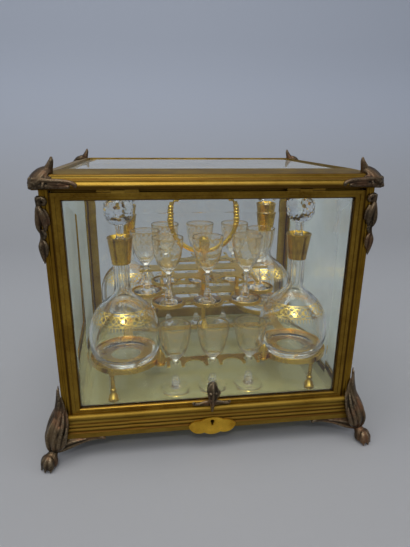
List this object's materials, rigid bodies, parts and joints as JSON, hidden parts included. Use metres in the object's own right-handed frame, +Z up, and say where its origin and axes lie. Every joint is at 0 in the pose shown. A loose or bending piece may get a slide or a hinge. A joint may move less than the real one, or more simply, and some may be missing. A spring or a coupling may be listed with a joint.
{
  "type": "liqueur cabinet",
  "caption": "Table-top liqueur cabinet: brass and bevelled-glass case on bronze paw feet, hinged lid and front, lift-out tray with stoppered decanters and stemmed glasses",
  "frame": {"origin": "on the ground under the middle of the case", "axes": "+X right along the front, +Y from the front to the back, +Z up"},
  "size_m": [0.3508, 0.2888, 0.3026],
  "materials": {
    "case_brass": "antique gilt, polished mouldings with dark lines",
    "bronze_mounts": "brown-patinated bronze with rubbed highlights",
    "tray_brass": "antique gilt, satin",
    "collar_gilt": "bright gilt, polished",
    "hinge_brass": "aged, satin",
    "lock_steel": "aged, satin",
    "pane_glass": "clear, bevelled edges",
    "decanter_glass": "clear crystal",
    "liqueur_glass": "clear, thin"
  },
  "bodies": {
    "case": {"base_frame": "case_brass", "floor_glass": "pane_glass", "lock_case": "lock_steel", "cartouche": "bronze_mounts", "post_mounts": "bronze_mounts", "left_frame": "case_brass", "left_glass": "pane_glass", "right_frame": "case_brass", "right_glass": "pane_glass", "rear_frame": "case_brass", "rear_glass": "pane_glass", "lid_hinge_case_leaves": "hinge_brass", "lid_hinge_pins": "hinge_brass", "foot_front_left": "bronze_mounts", "foot_front_right": "bronze_mounts", "foot_rear_left": "bronze_mounts", "foot_rear_right": "bronze_mounts", "post_front_left": "case_brass", "post_front_right": "case_brass", "post_rear_left": "case_brass", "post_rear_right": "case_brass"},
    "lid": {"lid_frame": "case_brass", "lid_glass": "pane_glass", "lid_hinge_lid_leaves": "hinge_brass", "door_hinge_lid_leaves": "hinge_brass", "door_hinge_pins": "hinge_brass", "lid_mount_front_left": "bronze_mounts", "lid_mount_front_right": "bronze_mounts", "lid_mount_rear_left": "bronze_mounts", "lid_mount_rear_right": "bronze_mounts"},
    "door": {"door_frame": "case_brass", "door_glass": "pane_glass", "door_knob": "bronze_mounts", "door_hinge_door_leaves": "hinge_brass"},
    "bolt": {"lock_bolt": "lock_steel"},
    "tray": {"tray_plate": "tray_brass", "tray_legs": "tray_brass", "decanter_rings": "tray_brass", "glass_shelf": "tray_brass", "notch_plate": "tray_brass", "tray_posts": "tray_brass", "tray_column": "tray_brass", "ring_handle": "tray_brass", "glasses_low_front": "liqueur_glass", "glasses_low_rear": "liqueur_glass", "glasses_high_front": "liqueur_glass", "glasses_high_rear": "liqueur_glass", "glasses_high_side": "liqueur_glass"},
    "decanter_front_left": {"decanter_front_left": "decanter_glass", "collar_front_left": "collar_gilt"},
    "stopper_front_left": {"stopper_front_left": "decanter_glass"},
    "decanter_front_right": {"decanter_front_right": "decanter_glass", "collar_front_right": "collar_gilt"},
    "stopper_front_right": {"stopper_front_right": "decanter_glass"},
    "decanter_rear_left": {"decanter_rear_left": "decanter_glass", "collar_rear_left": "collar_gilt"},
    "stopper_rear_left": {"stopper_rear_left": "decanter_glass"},
    "decanter_rear_right": {"decanter_rear_right": "decanter_glass", "collar_rear_right": "collar_gilt"},
    "stopper_rear_right": {"stopper_rear_right": "decanter_glass"}
  },
  "joints": [
    {"name": "lid_hinge", "type": "hinge", "parent": "case", "child": "lid", "pos_m": [0, 0.1256, 0.27325], "axis": [-1, 0, 0], "range_deg": [0, 100]},
    {"name": "door_hinge", "type": "hinge", "parent": "lid", "child": "door", "pos_m": [0, -0.119, 0.27325], "axis": [-1, 0, 0], "range_deg": [0, 95]},
    {"name": "bolt_slide", "type": "slide", "parent": "case", "child": "bolt", "axis": [0, 0, 1], "range_m": [0, 0.0026]},
    {"name": "tray_lift", "type": "slide", "parent": "case", "child": "tray", "axis": [0, 0, 1], "range_m": [0, 0.016]},
    {"name": "decanter_lift_front_left", "type": "slide", "parent": "tray", "child": "decanter_front_left", "axis": [0, 0, 1], "range_m": [0, 0.006]},
    {"name": "stopper_lift_front_left", "type": "slide", "parent": "decanter_front_left", "child": "stopper_front_left", "axis": [0, 0, 1], "range_m": [0, 0.018]},
    {"name": "decanter_lift_front_right", "type": "slide", "parent": "tray", "child": "decanter_front_right", "axis": [0, 0, 1], "range_m": [0, 0.006]},
    {"name": "stopper_lift_front_right", "type": "slide", "parent": "decanter_front_right", "child": "stopper_front_right", "axis": [0, 0, 1], "range_m": [0, 0.018]},
    {"name": "decanter_lift_rear_left", "type": "slide", "parent": "tray", "child": "decanter_rear_left", "axis": [0, 0, 1], "range_m": [0, 0.006]},
    {"name": "stopper_lift_rear_left", "type": "slide", "parent": "decanter_rear_left", "child": "stopper_rear_left", "axis": [0, 0, 1], "range_m": [0, 0.018]},
    {"name": "decanter_lift_rear_right", "type": "slide", "parent": "tray", "child": "decanter_rear_right", "axis": [0, 0, 1], "range_m": [0, 0.006]},
    {"name": "stopper_lift_rear_right", "type": "slide", "parent": "decanter_rear_right", "child": "stopper_rear_right", "axis": [0, 0, 1], "range_m": [0, 0.018]}
  ]
}
